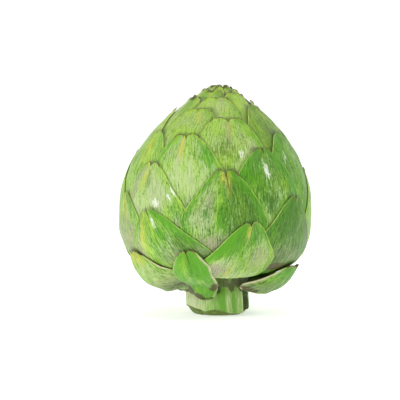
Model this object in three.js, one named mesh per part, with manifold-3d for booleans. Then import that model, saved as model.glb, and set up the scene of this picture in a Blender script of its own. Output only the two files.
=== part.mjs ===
// A globe artichoke: a ribbed stem that widens into the receptacle, the large bracts that grow on it one
// over another in a golden-angle spiral, and the closed bud of small bracts inside them.
// Millimetres, +Z up, origin at the centre of the cut face of the stem, which it stands on.
import * as THREE from "three";
import { mergeVertices } from "three/addons/utils/BufferGeometryUtils.js";
import Module from "manifold-3d";

const wasm = await Module();
wasm.setup();

const degrees = THREE.MathUtils.degToRad;
const smoothstep = THREE.MathUtils.smoothstep;

// The head
const HEAD_RADIUS = 49.5;
const HEAD_TOP = 119;
const EQUATOR_HEIGHT = 52; // where the head is widest
const BELLY_DEPTH = 36; // from the equator down to the underside
const BELLY_POWER = 2.8; // 2 is an ellipse, more is a flatter underside
const DOME_POWER = 2.25; // 2 is a parabola, more is a blunter tip
const DOME_PEAK = 121; // where the sides would meet, above the closed crown
const CROWN_SHARE = 0.958; // of the way up to the peak, where the sides end
const HEAD_OFFSET = -1.5; // the equator stands this far to -X of the stem
const APEX_LEAN = 2.5; // and the tip this far back towards +X
const DOME_STEPS = 28; // straight stretches that the outline is made of
const BELLY_STEPS = 24;
const FILLET_STEPS = 6;

// The stem
const STEM_RADIUS = 15.7;
const NECK_FILLET = 3.5; // where the stem widens into the head
const CUT_FLAT = 0.72; // share of the radius over which the cut is flat
const CUT_EDGE = 1; // the least height of the edge of the cut over the flat
// Where the edge is broken away upwards by more: degrees about the axis and to each side, and mm
const CHIPS = [
  { azimuth: -70, spread: 75, height: 3.6 },
  { azimuth: -5, spread: 35, height: 2.3 },
  { azimuth: 95, spread: 45, height: 2.5 },
];
// The grooves between the stem's ribs; the deep one is where a bract tore off
const GROOVES = [
  { azimuth: 63, spread: 12, depth: 3.2 },
  { azimuth: 28, spread: 8, depth: 0.8 },
  { azimuth: -2, spread: 8, depth: 0.7 },
  { azimuth: -35, spread: 10, depth: 0.9 },
  { azimuth: -78, spread: 10, depth: 0.8 },
  { azimuth: -122, spread: 12, depth: 1 },
  { azimuth: -163, spread: 12, depth: 0.9 },
  { azimuth: 152, spread: 12, depth: 1 },
  { azimuth: 108, spread: 12, depth: 0.9 },
];
const RIB_RISE = 0.6; // the ribs stand this far over the stem's radius
const GROOVES_END = 15; // the grooves fade out by this height
const GROOVES_FULL = 0.4; // and are full this share of the way down to the cut
const RECEPTACLE_TOP = 24; // the stem and the receptacle it widens into end here, and the bud sits on them
const STEM_SEGMENTS = 60;
const STEM_STEP = 3;

// The core under the bracts: how deep it lies below the outline, and how that changes along it
const CORE_CROWN = 3;
const CORE_SIDE = 3.2; // this much more at CORE_SIDE_FULL from the apex
const CORE_SIDE_FULL = 25;
const CORE_BELLY = 2; // and this much more below CORE_BELLY_STARTS to CORE_BELLY_FULL
const CORE_BELLY_STARTS = 80;
const CORE_BELLY_FULL = 120;
const CORE_NECK_STARTS = 130; // from here it comes out to meet the stem
const CORE_NECK_ENDS = 148;
const CORE_SEGMENTS = 36;
const CORE_STEP = 6;

// The spiral of bracts, from the lowest to the apex
const BRACTS = 58;
const LARGE_BRACTS = 33; // each of these is a piece of its own
const GOLDEN_ANGLE = -137.508; // the spiral climbs clockwise, seen from above
const FIRST_AZIMUTH = 132;
const FIRST_TIP = 112; // from the apex along the surface to the tip of the lowest bract
const SPIRAL_STEP = 4.3; // how far a large bract's tip is above the one before it, before it shrinks
const STEP_SOFTENING = 38; // the step falls off once a tip is this near the apex
const LOWEST_ROOT = 144; // from the apex along the surface to the roots at the stem
const ROOT_POWER = 3.4; // how closely the roots crowd together at the bottom
const LOW_TIP = 78; // bracts whose tips are further down than this are narrower
const LOWEST_TIP = 115; // and those down here half as wide

// One bract
const WIDEST_HALF = 24.5;
const WIDTH_GROWTH = 24; // bracts nearer the apex than this are narrower
const SPREAD = 1.15; // a bract is widest this many half widths below its tip
const SEATED_SPREAD = 0.5; // or this share of its length, if that is less
const TIP_CURVE = 1.15; // 1 is a straight-sided tip, more is a rounder one
const ROOT_SHARE = 0.4; // the width of the root as a share of the greatest
const ROOT_SWELLS = 0.55; // the root thickens from this share of the length on
const SEATING = 0.8; // and bends in to its seat from this one
const ROOT_END = 1.05; // and ends at this one, a little inside its seat
const MARGIN_THICKNESS = 0.7;
const MIDDLE_THICKNESS = 1.3;
const ROOT_THICKNESS = 2.2;
const MARGIN_WIDTH = 8; // a bract reaches its full thickness this far in from its edge
const SIDE_SLOPE = 0.75; // the sides run at an angle, so they are nearer than straight across
const TIP_HALF = 4.2; // half the width of the blunt tip
const TIP_LIMIT = 0.36; // but no more than this share of the bract's own
const NOTCH_DEPTH = 2.4;
const NOTCH_WIDTH = 0.28; // share of the half width
const SHOULDER_DROP = 1.4; // the tip's corners lie this far lower than its lobes
const TIP_SHARE = 0.25; // notch and shoulders even out over this share of the way to the widest place
const LIFT_SKEW = 0.65; // a loose bract stands out most nearer its root
const LIFT_AT_TIP = 0.08;
const GAP = 0.45; // between a bract and the one beneath it
const CLEARANCE = 0.3; // the least gap between two pieces
const SHORT_REACH = 3; // the outline is evened out over this length to each side
const LONG_REACH = 14; // and over this one at the root of a loose bract
const LOOSENING = 0.3; // which comes away from the head's own outline from this share of its length on
const MARGIN_LIFT = 0.45; // share of the lift that is left at a bract's margins
const CROWDING = 0.3; // at the apex the layers lie this much closer
const CROWDED = 24; // down to this distance from it
const RAMP = 8; // a bract starts to dip this far before it passes under another

// Where a real head departs from the spiral: degrees about the axis, mm by which the tip and the root lie
// lower, share of the width, of the tip's width and of it left at the foot, how late the taper to the foot
// sets in, degrees that the root lies to the side, mm that the bract and its tip stand away, the share of
// that left at its margins, and the slope of a bract that leans. A loose bract also runs straight from the
// belly to the stem.
const SETTLED = {
  0: { root: 4, lift: 2.5, loose: true },
  1: {
    turn: -12.7, down: -3, root: 7.5, width: 0.74, foot: 0.3, taper: 3.2, tilt: -0.2, lift: 2.8,
    loose: true,
  },
  2: { root: 4, lift: 2.5, loose: true },
  3: {
    turn: -9, down: 12.6, root: 2, width: 1.4, tip: 1.9, skew: -2, lift: 7, tipLift: 1, margin: 0.3,
    loose: true,
  },
  4: { turn: -4, down: 7.3, root: 3, width: 1.3, skew: 7, lift: 6.8, margin: 0.15, loose: true },
  5: { lift: 1.5 },
  6: { turn: -7.5, down: -1, root: -9, width: 0.9, foot: 0.3, taper: 2.2, skew: -12, tilt: -0.1, lift: 2 },
  9: { turn: -17.3, down: 2, width: 1.15, skew: 17, tilt: -0.2 },
  11: { turn: -7.4, down: 1.4, skew: -4, tilt: 0.1 },
  12: { turn: 10.6, down: 1.9 },
  14: { turn: -1.9, down: -3, width: 0.95, skew: -0.5 },
  17: { turn: 0.8, down: 0.8, skew: 6 },
  19: { turn: -8.2, down: -1.2 },
  22: { turn: -11, down: -1.9, width: 1.12, skew: 10, tip: 1.3 },
  24: { turn: -12 },
  25: { turn: 7, down: 1.6 },
  27: { turn: -11, down: -1.1, width: 1.1, tip: 1.7 },
  30: { turn: 9, down: -2.6, tip: 1.4 },
  32: { turn: 3.3, down: -2.5 },
  35: { turn: -4.2, down: -3, tip: 1.4 },
  40: { turn: 0.8, down: -1 },
};

// ---- The surface that the head fills ----

function meridianPoints() {
  const points = [new THREE.Vector2(0, HEAD_TOP)];
  for (let i = 0; i < DOME_STEPS; i++) {
    const t = CROWN_SHARE * (1 - i / DOME_STEPS);
    const radius = HEAD_RADIUS * (1 - t ** DOME_POWER);
    points.push(new THREE.Vector2(radius, EQUATOR_HEIGHT + (DOME_PEAK - EQUATOR_HEIGHT) * t));
  }
  const neckRadius = STEM_RADIUS + NECK_FILLET;
  const bellyEnd = Math.acos((neckRadius / HEAD_RADIUS) ** (BELLY_POWER / 2));
  for (let i = 0; i <= BELLY_STEPS; i++) {
    const a = (bellyEnd * i) / BELLY_STEPS;
    const out = Math.cos(a) ** (2 / BELLY_POWER);
    const drop = Math.sin(a) ** (2 / BELLY_POWER);
    points.push(new THREE.Vector2(HEAD_RADIUS * out, EQUATOR_HEIGHT - BELLY_DEPTH * drop));
  }
  const neckTop = points.at(-1).y;
  for (let i = 1; i <= FILLET_STEPS; i++) {
    const a = (Math.PI / 2) * (i / FILLET_STEPS);
    const radius = neckRadius - NECK_FILLET * Math.sin(a);
    points.push(new THREE.Vector2(radius, neckTop - NECK_FILLET * (1 - Math.cos(a))));
  }
  points.push(new THREE.Vector2(STEM_RADIUS, 0));
  return points;
}

const meridian = new THREE.Path(meridianPoints());
const MERIDIAN_LENGTH = meridian.getLength();

// The point of the outline at a distance down from the apex, with its outward normal. Both are evened out
// over the reach, and a long one cuts across the hollow between the head and the stem.
function outline(down, reach = SHORT_REACH) {
  const at = (d) => meridian.getPoint(THREE.MathUtils.clamp(d / MERIDIAN_LENGTH, 0, 1));
  const here = new THREE.Vector2();
  for (const step of [-1, -0.5, 0, 0.5, 1]) here.addScaledVector(at(down + step * reach), 0.2);
  const along = at(down + reach).sub(at(down - reach)).normalize();
  const steadiness = Math.min(1, here.x / reach);
  const normal = new THREE.Vector2(-along.y * steadiness, along.x).normalize();
  return { radius: here.x, height: here.y, normal };
}

// How far the axis stands to +X of the stem's at a height.
function bend(height) {
  const rise = (height - EQUATOR_HEIGHT) / (HEAD_TOP - EQUATOR_HEIGHT);
  const below = 1 - height / EQUATOR_HEIGHT;
  return HEAD_OFFSET + (rise > 0 ? APEX_LEAN * rise ** 2 : -HEAD_OFFSET * below ** 2);
}

// A point inside the head: down from the apex, round the axis, and deep below the outline.
function place(down, azimuth, depth, reach) {
  const { radius, height, normal } = outline(down, reach);
  const r = Math.max(radius - depth * normal.x, 0.2);
  const z = height - depth * normal.y;
  return new THREE.Vector3(r * Math.sin(azimuth) + bend(z), -r * Math.cos(azimuth), z);
}

// ---- The spiral ----

const UNSETTLED = {
  turn: 0,
  down: 0,
  root: 0,
  width: 1,
  tip: 1,
  foot: ROOT_SHARE,
  taper: 2,
  skew: 0,
  tilt: 0,
  lift: 0,
  tipLift: 0,
  margin: MARGIN_LIFT,
};

function spiral() {
  const bracts = [];
  let tip = FIRST_TIP;
  for (let k = 0; k < BRACTS; k++) {
    const settled = { ...UNSETTLED, ...SETTLED[k] };
    const seat = (LOWEST_ROOT - tip) / LOWEST_ROOT;
    const root = LOWEST_ROOT * (1 - seat ** ROOT_POWER) + settled.root;
    const grown = 1 - Math.exp(-tip / WIDTH_GROWTH);
    const narrowing = 1 - 0.5 * smoothstep(tip, LOW_TIP, LOWEST_TIP);
    const halfWidth = WIDEST_HALF * grown * narrowing * settled.width;
    bracts.push({
      azimuth: degrees(FIRST_AZIMUTH + k * GOLDEN_ANGLE + settled.turn),
      tip: tip + settled.down,
      length: root - tip - settled.down,
      halfWidth,
      tipHalf: Math.min(TIP_HALF * settled.tip, TIP_LIMIT * halfWidth),
      foot: settled.foot,
      taper: settled.taper,
      margin: settled.margin,
      skew: degrees(settled.skew),
      tilt: settled.tilt,
      lift: settled.lift,
      tipLift: settled.tipLift,
      reach: settled.loose ? LONG_REACH : SHORT_REACH,
    });
    tip -= (SPIRAL_STEP * tip) / (tip + STEP_SOFTENING);
  }
  return bracts;
}

const bracts = spiral();

// How far below its tip a bract is widest.
function widestAt(bract) {
  return Math.min(SPREAD * bract.halfWidth, SEATED_SPREAD * bract.length);
}

// Half the width of a bract at a distance below its tip.
function halfWidthAt(bract, below) {
  const widest = widestAt(bract);
  if (below < widest) {
    const swell = 1 - (1 - Math.max(below, 0) / widest) ** TIP_CURVE;
    return bract.tipHalf + (bract.halfWidth - bract.tipHalf) * swell;
  }
  const taper = ((below - widest) / (bract.length - widest)) ** bract.taper;
  return bract.halfWidth * (1 - (1 - bract.foot) * taper);
}

// How far a point lies inside a bract's outline; outside it this is negative.
function insideBract(bract, down, azimuth) {
  const along = (down - bract.tip) / bract.length;
  let turn = azimuth - bract.azimuth - bract.skew * THREE.MathUtils.clamp(along, 0, 1);
  turn -= 2 * Math.PI * Math.round(turn / (2 * Math.PI));
  const across = turn * outline(down).radius;
  const below = down - bract.tip - bract.tilt * across;
  const half = halfWidthAt(bract, Math.min(below, bract.length));
  const fromSide = SIDE_SLOPE * (half - Math.abs(across));
  if (below < 0) return fromSide < 0 ? -Math.hypot(below, fromSide) : below;
  return Math.min(fromSide, below);
}

// The thickness of a bract at a distance in from its edge and a share of its length below the tip.
function thicknessAt(inside, share) {
  const fromEdge = smoothstep(inside, 0, MARGIN_WIDTH);
  const body = (MIDDLE_THICKNESS - MARGIN_THICKNESS) * fromEdge;
  const root = (ROOT_THICKNESS - MIDDLE_THICKNESS) * fromEdge * smoothstep(share, ROOT_SWELLS, 1);
  return MARGIN_THICKNESS + body + root;
}

// What the older bracts over a point push it down by: bracts from the first to the one before the last.
function depthUnder(last, down, azimuth) {
  let depth = 0;
  for (let j = 0; j < last; j++) {
    const inside = insideBract(bracts[j], down, azimuth);
    if (inside <= -RAMP) continue;
    const share = (down - bracts[j].tip) / bracts[j].length;
    const edge = (MARGIN_THICKNESS + GAP) * smoothstep(inside, -RAMP, 0);
    depth += edge + thicknessAt(inside, share) - MARGIN_THICKNESS;
  }
  const closeness = last < LARGE_BRACTS ? 1 : CROWDING + (1 - CROWDING) * smoothstep(down, 0, CROWDED);
  return depth * closeness;
}

// ---- Solids ----

function toSolid(geometry) {
  const bare = geometry.clone();
  bare.deleteAttribute("normal");
  bare.deleteAttribute("uv");
  const merged = mergeVertices(bare, 1e-4);
  return new wasm.Manifold(
    new wasm.Mesh({
      numProp: 3,
      vertProperties: new Float32Array(merged.attributes.position.array),
      triVerts: new Uint32Array(merged.index.array),
    }),
  );
}

function toGeometry(solid) {
  const mesh = solid.getMesh();
  const points = [];
  for (let i = 0; i < mesh.numVert; i++)
    points.push(
      ...mesh.vertProperties.subarray(
        i * mesh.numProp,
        i * mesh.numProp + 3,
      ),
    );
  const geometry = new THREE.BufferGeometry();
  geometry.setAttribute(
    "position",
    new THREE.Float32BufferAttribute(points, 3),
  );
  geometry.setIndex(Array.from(mesh.triVerts));
  geometry.computeVertexNormals();
  return geometry;
}

// The largest body of a solid, without the scraps that a cut leaves.
function wholeBody(solid) {
  const bodies = solid.decompose();
  return bodies.reduce((a, b) => (b.volume() > a.volume() ? b : a));
}

// A closed shell between two grids of points, rows by columns, outer over inner.
function shell(outer, inner) {
  const rows = outer.length;
  const columns = outer[0].length;
  const points = [...outer.flat(), ...inner.flat()];
  const back = rows * columns;
  const index = [];
  const quad = (a, b, c, d) => index.push(a, b, c, a, c, d);
  for (let i = 0; i + 1 < rows; i++)
    for (let j = 0; j + 1 < columns; j++) {
      const a = i * columns + j;
      quad(a, a + columns, a + columns + 1, a + 1);
      index.push(back + a, back + a + columns + 1, back + a + columns);
      index.push(back + a, back + a + 1, back + a + columns + 1);
    }
  for (let j = 0; j + 1 < columns; j++) {
    const end = (rows - 1) * columns + j;
    quad(j, j + 1, back + j + 1, back + j);
    quad(end + 1, end, back + end, back + end + 1);
  }
  for (let i = 0; i + 1 < rows; i++) {
    const a = i * columns;
    const b = a + columns - 1;
    quad(a + columns, a, back + a, back + a + columns);
    quad(b, b + columns, back + b + columns, back + b);
  }
  const geometry = new THREE.BufferGeometry().setFromPoints(points);
  geometry.setIndex(index);
  return toSolid(geometry);
}

// How far a loose bract stands away from the head, at a share of its length below the tip.
function liftAt(bract, share) {
  const fromRoot = THREE.MathUtils.clamp(1 - share, 0, 1);
  const belly = Math.sin(Math.PI * fromRoot ** LIFT_SKEW);
  return bract.lift * (belly + LIFT_AT_TIP * fromRoot) + bract.tipLift * fromRoot ** 2;
}

// The same at a point, where the older bracts over that point hold it down to their own lift.
function heldLift(k, down, azimuth) {
  let lift = liftAt(bracts[k], (down - bracts[k].tip) / bracts[k].length);
  for (const older of bracts.slice(0, k)) {
    const covered = smoothstep(insideBract(older, down, azimuth), -RAMP, 0);
    const held = liftAt(older, (down - older.tip) / older.length);
    lift -= covered * Math.max(0, lift - held);
  }
  return lift;
}

// Where a bract's grid has its rows: shares of the way from the tip to the widest place, and from there to
// the root; and its columns, from one edge to the other.
const LARGE = {
  upper: [0, 0.1, 0.28, 0.55, 0.85],
  lower: [0.12, 0.4, 0.72, ROOT_END],
  columns: [-1, -0.72, -0.36, 0, 0.36, 0.72, 1],
  seat: 1.3, // the root ends this far above the core's surface
};
const SMALL = {
  upper: [0, 0.15, 0.5],
  lower: [0, 1],
  columns: [-1, -0.5, 0, 0.5, 1],
  seat: 0.2,
};

// One bract as a solid; grow makes it larger all round, to cut its neighbours clear of it.
function bractSolid(k, grid, grow = 0) {
  const bract = bracts[k];
  const scale = Math.sqrt(bract.halfWidth / WIDEST_HALF);
  const widest = widestAt(bract);
  const rows = [
    ...grid.upper.map((share) => share * widest),
    ...grid.lower.map((share) => widest + share * (bract.length - widest)),
  ];
  const outer = [];
  const inner = [];
  rows.forEach((row, i) => {
    const half = halfWidthAt(bract, row) + grow;
    const tipWeight = Math.max(0, 1 - row / (TIP_SHARE * widest));
    outer.push([]);
    inner.push([]);
    for (const u of grid.columns) {
      const notch = NOTCH_DEPTH * scale * Math.exp(-((u / NOTCH_WIDTH) ** 2));
      const shoulder = SHOULDER_DROP * scale * u ** 2;
      const below = row + (notch + shoulder) * tipWeight - (i === 0 ? grow : 0);
      const share = below / bract.length;
      const down = bract.tip + below + bract.tilt * u * half;
      const along = (down - bract.tip) / bract.length;
      const wrapRadius = Math.max(outline(down, bract.reach).radius, SHORT_REACH);
      const azimuth = bract.azimuth + bract.skew * along + (u * half) / wrapRadius;
      const inside = Math.max(0, Math.min(half * (1 - Math.abs(u)) * SIDE_SLOPE, below));
      const lift = heldLift(k, down, azimuth) * (1 - (1 - bract.margin) * u ** 2);
      const layered = depthUnder(k, down, azimuth) - lift;
      const seat = coreDepth(down) - grid.seat;
      const depth = THREE.MathUtils.lerp(layered, seat, smoothstep(share, SEATING, ROOT_END));
      const loosened = smoothstep(share, LOOSENING, SEATING);
      const reach = THREE.MathUtils.lerp(SHORT_REACH, bract.reach, loosened);
      outer[i].push(place(down, azimuth, depth - grow, reach));
      inner[i].push(place(down, azimuth, depth + thicknessAt(inside, share) + grow, reach));
    }
  });
  return shell(outer, inner);
}

// ---- The pieces ----

// How deep the core, which carries the roots, lies below the outline.
function coreDepth(down) {
  const side = CORE_CROWN + CORE_SIDE * smoothstep(down, 0, CORE_SIDE_FULL);
  const belly = CORE_BELLY * smoothstep(down, CORE_BELLY_STARTS, CORE_BELLY_FULL);
  return (side + belly) * (1 - smoothstep(down, CORE_NECK_STARTS, CORE_NECK_ENDS));
}

// The core's radius and height at a distance down from the apex.
function corePoint(down, grow) {
  const { radius, height, normal } = outline(down);
  const depth = coreDepth(down) - grow;
  const r = Math.max(radius - depth * normal.x, 0);
  return new THREE.Vector2(r, height - depth * normal.y);
}

// The core's points over a stretch of the outline, from the top down.
function coreProfile(from, to, step, grow) {
  const steps = Math.round((to - from) / step);
  return Array.from({ length: steps + 1 }, (_, i) =>
    corePoint(from + ((to - from) * i) / steps, grow),
  );
}

// Where the core, going down, comes to a height.
function downAtHeight(height) {
  let down = LOWEST_ROOT;
  while (corePoint(down, 0).y < height) down -= 0.5;
  return down;
}

// How much of a chip or a groove there is at an azimuth, from 0 outside it to 1 in its middle.
function withinSpread(azimuth, mark) {
  const off = Math.abs(THREE.MathUtils.radToDeg(azimuth) - mark.azimuth) % 360;
  return 1 - smoothstep(Math.min(off, 360 - off), 0, mark.spread);
}

// How far the edge of the cut is above the flat at an azimuth.
function edgeHeight(azimuth) {
  return CUT_EDGE + Math.max(...CHIPS.map((chip) => chip.height * withinSpread(azimuth, chip)));
}

// A point of the stem's side at an azimuth: its radius with the ribs, and its height over the broken edge.
function stemPoint({ x, y }, azimuth, grow) {
  const lowered = Math.max(1 - y / GROOVES_END, 0);
  const grooves = GROOVES.reduce((sum, g) => sum + g.depth * withinSpread(azimuth, g), 0);
  const rib = (RIB_RISE - grooves) * smoothstep(lowered, 0, GROOVES_FULL);
  const end = y <= 0 ? grow : 0;
  return new THREE.Vector2(x + rib, Math.max(y, 0) + edgeHeight(azimuth) * lowered - end);
}

// The ribbed stem and the receptacle as one solid.
function stemSolid(grow = 0) {
  const top = RECEPTACLE_TOP + grow;
  const profile = coreProfile(downAtHeight(top), MERIDIAN_LENGTH, STEM_STEP, grow);
  profile[0].y = top;
  profile.reverse();
  const flat = new THREE.Vector2(CUT_FLAT * (STEM_RADIUS + grow), -grow);
  const points = [new THREE.Vector3(0, 0, -grow)];
  for (const point of [flat, ...profile])
    for (let i = 0; i < STEM_SEGMENTS; i++) {
      const azimuth = -Math.PI + (2 * Math.PI * i) / STEM_SEGMENTS;
      const { x, y } = point === flat ? flat : stemPoint(point, azimuth, grow);
      points.push(new THREE.Vector3(x * Math.sin(azimuth) + bend(y), -x * Math.cos(azimuth), y));
    }
  points.push(new THREE.Vector3(bend(top), 0, top));
  const index = [];
  const last = points.length - 1;
  const at = (ring, i) => 1 + ring * STEM_SEGMENTS + (i % STEM_SEGMENTS);
  for (let i = 0; i < STEM_SEGMENTS; i++) {
    index.push(0, at(0, i + 1), at(0, i));
    for (let ring = 0; ring < profile.length; ring++) {
      index.push(at(ring, i), at(ring, i + 1), at(ring + 1, i + 1));
      index.push(at(ring, i), at(ring + 1, i + 1), at(ring + 1, i));
    }
    index.push(last, at(profile.length, i), at(profile.length, i + 1));
  }
  const geometry = new THREE.BufferGeometry().setFromPoints(points);
  geometry.setIndex(index);
  return toSolid(geometry);
}

// The core above the receptacle, leaning as the head does.
function budCore(grow = 0) {
  const bottom = RECEPTACLE_TOP + CLEARANCE - grow;
  const profile = coreProfile(0, downAtHeight(bottom), CORE_STEP, grow);
  profile[0].x = 0;
  profile.at(-1).y = bottom;
  profile.push(new THREE.Vector2(0, bottom));
  profile.reverse();
  const geometry = new THREE.LatheGeometry(profile, CORE_SEGMENTS);
  geometry.rotateX(Math.PI / 2);
  const position = geometry.attributes.position;
  for (let i = 0; i < position.count; i++) {
    position.setX(i, position.getX(i) + bend(position.getZ(i)));
  }
  return toSolid(geometry);
}

// A piece less the ones that it would cross, each grown by the clearance.
function clearOf(solid, others) {
  let cut = solid;
  for (const { body, grown } of others)
    if (cut.intersect(body).volume() > 1e-3) cut = cut.subtract(grown());
  return wholeBody(cut);
}

function largeBracts(stem, core) {
  const made = [];
  for (let k = 0; k < LARGE_BRACTS; k++) {
    const bare = bractSolid(k, LARGE);
    const body = clearOf(bare.subtract(stem).subtract(core), made);
    made.push({ body, grown: () => bractSolid(k, LARGE, CLEARANCE) });
  }
  return made;
}

// The core with the small bracts of the crown fused to it.
function innerBud(large) {
  let bud = budCore();
  for (let k = LARGE_BRACTS; k < BRACTS; k++)
    bud = bud.add(clearOf(bractSolid(k, SMALL), large));
  return clearOf(bud, large);
}

const materials = {
  bract: new THREE.MeshStandardMaterial({
    color: 0x7fae45,
    roughness: 0.5,
    metalness: 0,
  }),
  bud: new THREE.MeshStandardMaterial({
    color: 0x93b858,
    roughness: 0.5,
    metalness: 0,
  }),
  stem: new THREE.MeshStandardMaterial({
    color: 0x9cbf6a,
    roughness: 0.6,
    metalness: 0,
  }),
};

function named(name, solid, material) {
  const mesh = new THREE.Mesh(toGeometry(solid), material);
  mesh.name = name;
  return mesh;
}

const artichoke = new THREE.Group();
artichoke.add(named("stem", stemSolid(), materials.stem));
const large = largeBracts(stemSolid(CLEARANCE), budCore(CLEARANCE));
large.forEach(({ body }, k) =>
  artichoke.add(named(`bract_${String(k + 1).padStart(2, "0")}`, body, materials.bract)),
);
artichoke.add(named("inner_bud", innerBud(large), materials.bud));

export default artichoke;
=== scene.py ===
"""A globe artichoke standing on its cut stem: bracts, closed bud and stem as finished pieces."""

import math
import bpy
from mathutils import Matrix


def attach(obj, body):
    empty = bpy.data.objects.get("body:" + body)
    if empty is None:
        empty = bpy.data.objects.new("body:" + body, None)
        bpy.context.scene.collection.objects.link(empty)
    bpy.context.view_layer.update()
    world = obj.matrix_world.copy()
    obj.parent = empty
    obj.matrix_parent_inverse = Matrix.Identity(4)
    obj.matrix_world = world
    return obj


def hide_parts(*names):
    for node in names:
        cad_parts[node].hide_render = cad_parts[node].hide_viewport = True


bl_info = {
    "name": "Globe Artichoke",
    "version": (1, 0, 0),
    "blender": (4, 5, 0),
    "location": "View3D > Sidebar > Artichoke",
    "description": "Builds the skin of a globe artichoke: its bracts, the closed bud and the ribbed stem",
    "category": "Object",
}

from typing import NamedTuple

import bmesh
import bpy
import numpy as np
from mathutils import Vector

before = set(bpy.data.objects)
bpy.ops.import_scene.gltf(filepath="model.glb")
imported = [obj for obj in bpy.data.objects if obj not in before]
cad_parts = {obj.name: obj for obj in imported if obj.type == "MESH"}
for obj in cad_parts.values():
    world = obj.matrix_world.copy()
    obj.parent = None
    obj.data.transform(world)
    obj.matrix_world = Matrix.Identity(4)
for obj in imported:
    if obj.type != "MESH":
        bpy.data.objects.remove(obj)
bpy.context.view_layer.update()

MM = 0.001  # shapes are worked out in millimetres, and meshes and settings are in metres
BODY = "root"

# ---- The head's outline, from the apex down to the cut ----

EQUATOR_HEIGHT = 52.0  # where the head is widest
BELLY_DEPTH = 36.0  # from the equator down to the underside
BELLY_POWER = 2.8  # 2 is an ellipse, more is a flatter underside
DOME_POWER = 2.25  # 2 is a parabola, more is a blunter tip
DOME_RISE = 2.0  # the sides would meet this far above the closed crown
CROWN_SHARE = 0.958  # of the way up to there, where the sides end
HEAD_OFFSET = -1.5  # the equator stands this far to -X of the stem
APEX_LEAN = 2.5  # and the tip this far back towards +X
NECK_FILLET = 3.5  # where the stem widens into the head
DOME_STEPS = 28  # straight stretches that the outline is made of
BELLY_STEPS = 24
FILLET_STEPS = 6

# The core under the bracts: how deep it lies below the outline, and between which distances from the apex
# it gets deeper, or at the neck shallower
CORE_CROWN = 3.0
CORE_SIDE = 3.2
CORE_SIDE_DOWN = (0, 25)
CORE_BELLY = 2.0
CORE_BELLY_DOWN = (80, 120)
CORE_NECK_DOWN = (130, 148)
CORE_END = 108.0  # the skin of the core ends this far down
CORE_COLUMNS = 72
CORE_ROWS = 60

# ---- The stem ----

# The grooves between its ribs: azimuth and half width in degrees, and depth in mm
GROOVES = (
    (63, 12, 3.2), (28, 8, 0.8), (-2, 8, 0.7), (-35, 10, 0.9), (-78, 10, 0.8), (-122, 12, 1.0),
    (-163, 12, 0.9), (152, 12, 1.0), (108, 12, 0.9),
)
RIB_RISE = 0.6  # the ribs stand this far over the stem's radius
RIB_WAVE = 0.15  # and are this uneven
GROOVES_END = 15.0  # the grooves fade out by this height
GROOVES_FULL = 0.4  # and are full this share of the way down to the cut
# Where the edge of the cut is broken away upwards: azimuth and half width in degrees, and height in mm
CHIPS = ((-70, 75, 3.6), (-5, 35, 2.3), (95, 45, 2.5))
CUT_EDGE = 1.0  # the least height of the edge of the cut over the flat
CUT_FLAT = 0.72  # share of the radius over which the cut is flat
CUT_RINGS = (0.98, 0.93, 0.86, 0.79, CUT_FLAT, 0.5, 0.25, 0.0)
STEM_SKIN_STARTS = 126.0  # from the apex along the surface, inside the head
STEM_FOOT = 3.0  # the lowest part of its side has closer rings
STEM_COLUMNS = 300
# Old scars on the neck and the stem: azimuth and half width in degrees, height and half height in mm
SCARS = (
    (28, 7, 15, 4), (14, 5, 17, 3), (2, 6, 13, 3), (-22, 7, 12, 3), (-36, 9, 9.5, 3), (-52, 9, 11, 2.5),
    (50, 6, 14, 3), (90, 20, 14, 3), (130, 14, 12, 3), (180, 16, 14, 3), (-110, 16, 13, 3),
    (-150, 10, 11, 2),
)
# The stem's colours round it: azimuth, how pale, how green and how much painted shade darkens it
STEM_BANDS = (
    (-180, 0.5, 0.3, 0.0), (-150, 0.1, 0.8, 0.0), (-120, 0.7, 0.2, 0.1), (-92, 1.0, 0.1, 0.0),
    (-38, 1.0, 0.1, 0.0), (-30, 0.55, 0.3, 0.0), (-12, 0.35, 0.5, 0.0), (-1, 0.15, 0.6, 0.0),
    (3, 0.0, 1.1, 0.0), (12, 0.0, 1.1, 0.0), (16, 0.5, 0.3, 0.0), (26, 0.5, 0.3, 0.0),
    (29, 0.1, 1.0, 0.1), (34, 0.2, 0.9, 0.0), (37, 0.35, 0.4, 0.0), (47, 0.4, 0.4, 0.0),
    (50, 1.1, 0.0, 0.0), (53, 0.6, 0.2, 0.4), (56, 0.0, 0.6, 1.0), (72, 0.0, 0.6, 0.9),
    (80, 0.1, 0.7, 0.5), (90, 0.6, 0.4, 0.2), (125, 0.2, 0.7, 0.0), (155, 0.7, 0.2, 0.1),
    (180, 0.5, 0.3, 0.0),
)

# ---- The spiral of bracts, from the lowest to the apex ----

BRACTS = 58
LARGE_BRACTS = 33  # each of these is a piece of its own
GOLDEN_ANGLE = -137.508  # the spiral climbs clockwise, seen from above
FIRST_AZIMUTH = 132.0
FIRST_TIP = 112.0  # from the apex along the surface to the tip of the lowest bract
SPIRAL_STEP = 4.3  # how far a large bract's tip is above the one before it, before it shrinks
STEP_SOFTENING = 38.0  # the step falls off once a tip is this near the apex
LOWEST_ROOT = 144.0  # from the apex along the surface to the roots at the stem
ROOT_POWER = 3.4  # how closely the roots crowd together at the bottom

# ---- One bract ----

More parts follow.
